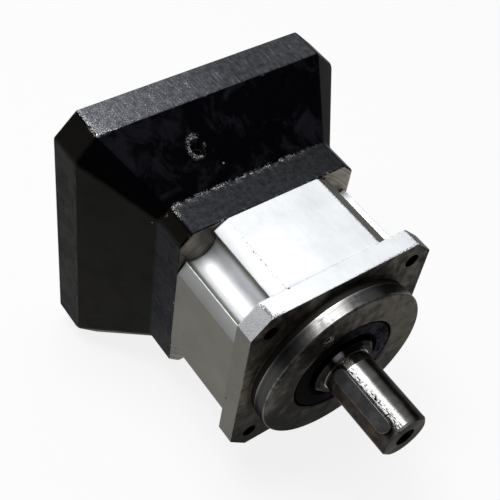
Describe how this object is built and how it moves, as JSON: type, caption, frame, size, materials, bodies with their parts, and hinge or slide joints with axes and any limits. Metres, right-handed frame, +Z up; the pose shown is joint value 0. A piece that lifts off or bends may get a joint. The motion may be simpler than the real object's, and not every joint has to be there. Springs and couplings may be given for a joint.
{
  "type": "planetary reduction gearbox",
  "caption": "Inline planetary reduction gearbox with a square output flange, keyed shaft, fluted body and a tapered black adapter plate for a servo motor.",
  "frame": {"origin": "on the shaft axis, in the mounting face of the output flange", "axes": "+X along the output shaft, out of the gearbox; +Z up, square to the flange's sides"},
  "size_m": [0.1616, 0.13, 0.13],
  "materials": {
    "machined_body": "turned and milled steel, bare, lightly oiled",
    "black_paint": "black enamel, brushed thin and worn at the edges",
    "ground_shaft": "ground and hardened shaft steel",
    "key_steel": "cold drawn key steel",
    "gear_steel": "case hardened, ground",
    "bearing_steel": "ground bearing steel",
    "pressed_steel": "pressed sheet steel",
    "bronze": "machined bearing bronze",
    "seal_rubber": "moulded nitrile rubber",
    "black_oxide": "black oxide steel screws"
  },
  "bodies": {
    "casing": {"housing": "machined_body", "ring_gear": "gear_steel", "motor_adapter": "black_paint", "adapter_screws": "black_oxide", "access_plug": "black_oxide", "grease_plug": "black_oxide", "shaft_seal": "seal_rubber", "input_seal": "seal_rubber", "preload_shim": "pressed_steel", "spigot_seal_ring": "seal_rubber", "front_bearing_cup": "bearing_steel", "rear_bearing_cup": "bearing_steel", "input_bearing_outer_ring": "bearing_steel"},
    "output": {"output_shaft": "ground_shaft", "output_key": "key_steel", "thrust_washers": "bronze", "planet_pin_1": "bearing_steel", "planet_pin_2": "bearing_steel", "planet_pin_3": "bearing_steel", "front_bearing_cone": "bearing_steel", "rear_bearing_cone": "bearing_steel"},
    "input": {"input_shaft": "gear_steel", "clamp_ring": "gear_steel", "clamp_screw": "black_oxide", "hub_circlip": "pressed_steel", "input_bearing_inner_ring": "bearing_steel"},
    "front_rollers": {"front_bearing_rollers": "bearing_steel", "front_bearing_cage": "pressed_steel"},
    "rear_rollers": {"rear_bearing_rollers": "bearing_steel", "rear_bearing_cage": "pressed_steel"},
    "input_rollers": {"input_bearing_rollers": "bearing_steel", "input_bearing_cage": "pressed_steel"},
    "planet_1": {"planet_gear_1": "gear_steel", "planet_bush_1": "bronze"},
    "planet_2": {"planet_gear_2": "gear_steel", "planet_bush_2": "bronze"},
    "planet_3": {"planet_gear_3": "gear_steel", "planet_bush_3": "bronze"}
  },
  "joints": [
    {"name": "output_spin", "type": "hinge", "parent": "casing", "child": "output", "pos_m": [0, 0, 0], "axis": [1, 0, 0], "continuous": true},
    {"name": "input_spin", "type": "hinge", "parent": "casing", "child": "input", "pos_m": [-0.071, 0, 0], "axis": [1, 0, 0], "continuous": true},
    {"name": "front_rollers_orbit", "type": "hinge", "parent": "casing", "child": "front_rollers", "pos_m": [-0.0085, 0, 0], "axis": [1, 0, 0], "continuous": true},
    {"name": "rear_rollers_orbit", "type": "hinge", "parent": "casing", "child": "rear_rollers", "pos_m": [-0.053, 0, 0], "axis": [1, 0, 0], "continuous": true},
    {"name": "input_rollers_orbit", "type": "hinge", "parent": "casing", "child": "input_rollers", "pos_m": [-0.067, 0, 0], "axis": [1, 0, 0], "continuous": true},
    {"name": "planet_1_spin", "type": "hinge", "parent": "output", "child": "planet_1", "pos_m": [-0.032, 0, 0.01875], "axis": [1, 0, 0], "continuous": true},
    {"name": "planet_2_spin", "type": "hinge", "parent": "output", "child": "planet_2", "pos_m": [-0.032, -0.01624, -0.00937], "axis": [1, 0, 0], "continuous": true},
    {"name": "planet_3_spin", "type": "hinge", "parent": "output", "child": "planet_3", "pos_m": [-0.032, 0.01624, -0.00937], "axis": [1, 0, 0], "continuous": true}
  ],
  "couplings": [
    {"joint": "input_spin", "follows": "output_spin", "ratio": 4},
    {"joint": "front_rollers_orbit", "follows": "output_spin", "ratio": 0.43365},
    {"joint": "rear_rollers_orbit", "follows": "output_spin", "ratio": 0.44983},
    {"joint": "input_rollers_orbit", "follows": "output_spin", "ratio": 1.7658},
    {"joint": "planet_1_spin", "follows": "output_spin", "ratio": -3},
    {"joint": "planet_2_spin", "follows": "output_spin", "ratio": -3},
    {"joint": "planet_3_spin", "follows": "output_spin", "ratio": -3}
  ]
}
